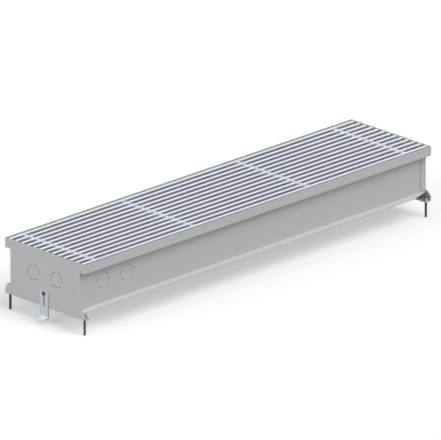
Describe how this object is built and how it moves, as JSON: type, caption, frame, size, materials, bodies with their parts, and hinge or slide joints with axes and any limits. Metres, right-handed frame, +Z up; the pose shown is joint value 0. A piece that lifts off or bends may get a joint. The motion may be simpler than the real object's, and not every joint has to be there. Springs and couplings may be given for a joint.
{
  "type": "trench convector heater",
  "caption": "Floor trough of folded sheet with a finned water coil, a loose linear bar grille, levelling studs, pipe knock-outs and slotted floor brackets.",
  "frame": {"origin": "on the floor under the middle of the casing, level with the tips of the levelling studs", "axes": "+X along the casing from the water connection end to the far end, +Y from the seen long side to the back, +Z up"},
  "size_m": [1.113, 0.25, 0.1675],
  "materials": {
    "casing": "smooth satin grey coat on sheet steel",
    "zinc": "bright bluish zinc plating",
    "stud_steel": "dull dark threaded steel",
    "black_steel": "black oxide, slightly shiny",
    "fin_aluminium": "bare thin sheet",
    "copper": "plain copper, slightly dulled",
    "brass": "plain brass, satin",
    "tape_rubber": "matte foam tape",
    "grille_aluminium": "natural anodised, fine satin",
    "spacer_aluminium": "natural anodised, satin"
  },
  "bodies": {
    "casing": {"base_plate": "casing", "front_side_panel": "casing", "back_side_panel": "casing", "near_end_plate": "casing", "far_end_plate": "casing", "cross_brace_near": "casing", "cross_brace_far": "casing", "coil_support_near": "casing", "coil_support_middle": "casing", "coil_support_far": "casing", "levelling_nuts": "zinc", "bracket_washers": "zinc", "bracket_nuts": "zinc", "support_rivets": "zinc", "bracket_screws": "black_steel", "fin_pack": "fin_aluminium", "front_pipe": "copper", "back_pipe": "copper", "return_bend": "copper", "flow_connection": "brass", "return_connection": "brass", "bleed_valve_body": "brass", "front_rest_tape": "tape_rubber", "back_rest_tape": "tape_rubber"},
    "grille": {"grille_bar_1": "grille_aluminium", "grille_bar_2": "grille_aluminium", "grille_bar_3": "grille_aluminium", "grille_bar_4": "grille_aluminium", "grille_bar_5": "grille_aluminium", "grille_bar_6": "grille_aluminium", "grille_bar_7": "grille_aluminium", "grille_bar_8": "grille_aluminium", "grille_bar_9": "grille_aluminium", "grille_bar_10": "grille_aluminium", "grille_bar_11": "grille_aluminium", "grille_bar_12": "grille_aluminium", "grille_bar_13": "grille_aluminium", "grille_rod_near_end": "grille_aluminium", "grille_rod_far_end": "grille_aluminium", "grille_rod_near_middle": "grille_aluminium", "grille_rod_far_middle": "grille_aluminium", "grille_spacers": "spacer_aluminium"},
    "stud_near_front": {"levelling_stud_near_front": "stud_steel"},
    "stud_near_back": {"levelling_stud_near_back": "stud_steel"},
    "stud_far_front": {"levelling_stud_far_front": "stud_steel"},
    "stud_far_back": {"levelling_stud_far_back": "stud_steel"},
    "bracket_near": {"near_floor_bracket": "zinc"},
    "bracket_far": {"far_floor_bracket": "zinc"},
    "bleed_screw": {"bleed_screw": "brass"}
  },
  "joints": [
    {"name": "grille_lift", "type": "slide", "parent": "casing", "child": "grille", "axis": [0, 0, 1], "range_m": [0, 0.06]},
    {"name": "near_front_stud_travel", "type": "slide", "parent": "casing", "child": "stud_near_front", "axis": [0, 0, 1], "range_m": [-0.0045, 0.0045]},
    {"name": "near_back_stud_travel", "type": "slide", "parent": "casing", "child": "stud_near_back", "axis": [0, 0, 1], "range_m": [-0.0045, 0.0045]},
    {"name": "far_front_stud_travel", "type": "slide", "parent": "casing", "child": "stud_far_front", "axis": [0, 0, 1], "range_m": [-0.0045, 0.03]},
    {"name": "far_back_stud_travel", "type": "slide", "parent": "casing", "child": "stud_far_back", "axis": [0, 0, 1], "range_m": [-0.0045, 0.03]},
    {"name": "near_bracket_slide", "type": "slide", "parent": "casing", "child": "bracket_near", "axis": [0, 0, 1], "range_m": [0, 0.0265]},
    {"name": "far_bracket_slide", "type": "slide", "parent": "casing", "child": "bracket_far", "axis": [0, 0, 1], "range_m": [0, 0.0265]},
    {"name": "bleed_screw_turn", "type": "hinge", "parent": "casing", "child": "bleed_screw", "pos_m": [-0.3745, 0.036, 0.132], "axis": [0, 0, 1], "range_deg": [0, 270]}
  ]
}
